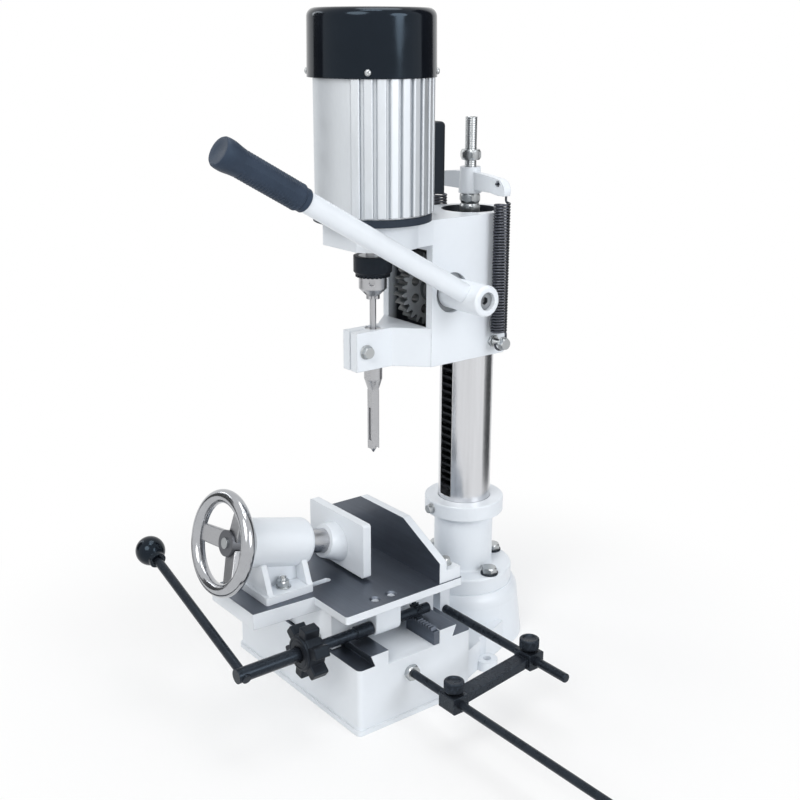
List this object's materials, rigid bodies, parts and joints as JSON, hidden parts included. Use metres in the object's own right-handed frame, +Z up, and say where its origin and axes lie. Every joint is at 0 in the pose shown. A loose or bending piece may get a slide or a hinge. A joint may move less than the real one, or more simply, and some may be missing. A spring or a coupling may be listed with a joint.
{
  "type": "mortiser",
  "caption": "Benchtop hollow-chisel mortiser: column stand, geared lever head with motor and chuck, hold-down vise and sliding table on dovetail ways, with rod length stops",
  "frame": {"origin": "on the column's axis, in the plane of the base's underside", "axes": "+X to the machine's right, along the table's travel and the stop rods; -Y towards the operator; +Z up the column"},
  "size_m": [0.5715, 0.472, 0.766],
  "materials": {
    "casting_paint": "gloss",
    "machined_iron": "machined",
    "ground_steel": "ground",
    "zinc_plate": "zinc plated",
    "black_oxide": "black oxide",
    "polished_chrome": "polished",
    "motor_alloy": "silver painted casting",
    "black_gloss": "gloss",
    "black_matte": "matte",
    "grip_plastic": "ribbed",
    "gasket_rubber": "matte",
    "steel_core": "laminated"
  },
  "bodies": {
    "base": {"base_casting": "casting_paint", "column_foot": "casting_paint", "foot_washers": "black_oxide", "foot_bolts": "zinc_plate", "column": "ground_steel", "column_rack": "machined_iron", "top_stud": "zinc_plate", "stud_nuts": "zinc_plate", "spring_crossbar": "casting_paint", "long_stop_rod": "black_oxide", "rod_nut": "zinc_plate", "feed_rack": "machined_iron", "return_springs": "zinc_plate"},
    "collar": {"stop_collar": "casting_paint", "collar_screw": "zinc_plate"},
    "head": {"head_casting": "casting_paint", "clamp_bolt": "zinc_plate", "spring_bolts": "zinc_plate", "motor_gasket": "gasket_rubber", "motor_body": "motor_alloy", "motor_shields": "motor_alloy", "motor_bearings": "steel_core", "stator": "steel_core", "motor_cap": "black_gloss", "cap_screws": "zinc_plate", "capacitor_box": "black_matte", "mortise_chisel": "ground_steel"},
    "spindle": {"motor_shaft": "ground_steel", "rotor_core": "steel_core", "cooling_fan": "black_matte", "chuck_sleeve": "black_matte", "chuck_body": "ground_steel", "chuck_jaws": "ground_steel", "auger_bit": "ground_steel"},
    "lever": {"lever_shaft": "ground_steel", "drive_gear": "machined_iron", "lever_arm": "casting_paint", "lever_grip": "grip_plastic", "lever_screw": "black_oxide"},
    "table": {"table_casting": "machined_iron", "gib_strip": "machined_iron", "gib_screws": "zinc_plate", "fence": "machined_iron", "fence_bolts": "zinc_plate", "feed_bracket": "casting_paint", "rod_bracket": "casting_paint", "short_stop_rod": "black_oxide"},
    "feed_crank": {"feed_shaft": "black_oxide", "crank_arm": "black_oxide", "crank_ball": "black_gloss"},
    "lock_knob": {"star_knob": "black_matte"},
    "vise": {"vise_body": "casting_paint", "vise_bolts": "zinc_plate"},
    "wheel": {"handwheel": "polished_chrome", "vise_screw": "zinc_plate"},
    "jaw": {"vise_quill": "ground_steel", "vise_jaw": "casting_paint"},
    "rod_stop": {"stop_bar": "black_oxide"},
    "front_screw": {"front_thumbscrew": "black_oxide"},
    "rear_screw": {"rear_thumbscrew": "black_oxide"}
  },
  "joints": [
    {"name": "collar_slide", "type": "slide", "parent": "base", "child": "collar", "axis": [0, 0, 1], "range_m": [0, 0.055]},
    {"name": "head_slide", "type": "slide", "parent": "base", "child": "head", "axis": [0, 0, -1], "range_m": [0, 0.0508], "stiffness_N_per_m": 2500, "springref_m": -0.11, "deforming": ["return_springs"]},
    {"name": "spindle_turn", "type": "hinge", "parent": "head", "child": "spindle", "pos_m": [0, -0.142, 0.5], "axis": [0, 0, 1], "continuous": true},
    {"name": "lever_pull", "type": "hinge", "parent": "head", "child": "lever", "pos_m": [0.078, -0.063, 0.459], "axis": [1, 0, 0], "range_deg": [0, 72]},
    {"name": "table_slide", "type": "slide", "parent": "base", "child": "table", "axis": [1, 0, 0], "range_m": [-0.0064, 0.029]},
    {"name": "crank_turn", "type": "hinge", "parent": "table", "child": "feed_crank", "pos_m": [0.089, -0.386, 0.103], "axis": [0, 1, 0], "range_deg": [-41, 185]},
    {"name": "knob_turn", "type": "hinge", "parent": "feed_crank", "child": "lock_knob", "pos_m": [0.089, -0.298, 0.103], "axis": [0, 1, 0], "range_deg": [-90, 90]},
    {"name": "vise_slide", "type": "slide", "parent": "table", "child": "vise", "axis": [0, 1, 0], "range_m": [-0.015, 0.003]},
    {"name": "wheel_turn", "type": "hinge", "parent": "vise", "child": "wheel", "pos_m": [0, -0.33867, 0.20887], "axis": [0, 0.9703, -0.2419], "range_deg": [-2400, 1560]},
    {"name": "jaw_slide", "type": "slide", "parent": "vise", "child": "jaw", "axis": [0, 0.9703, -0.2419], "range_m": [-0.0201, 0.0131]},
    {"name": "stop_slide", "type": "slide", "parent": "base", "child": "rod_stop", "axis": [1, 0, 0], "range_m": [-0.05, 0.04]},
    {"name": "front_screw_turn", "type": "hinge", "parent": "rod_stop", "child": "front_screw", "pos_m": [0.202, -0.1858, 0.08], "axis": [0, 0, 1], "range_deg": [-180, 180]},
    {"name": "rear_screw_turn", "type": "hinge", "parent": "rod_stop", "child": "rear_screw", "pos_m": [0.202, -0.0755, 0.09], "axis": [0, 0, 1], "range_deg": [-180, 180]}
  ],
  "couplings": [
    {"joint": "lever_pull", "follows": "head_slide", "rad_per_m": 24.691},
    {"joint": "crank_turn", "follows": "table_slide", "rad_per_m": 111.11},
    {"joint": "jaw_slide", "follows": "wheel_turn", "m_per_rad": 0.00047746}
  ]
}
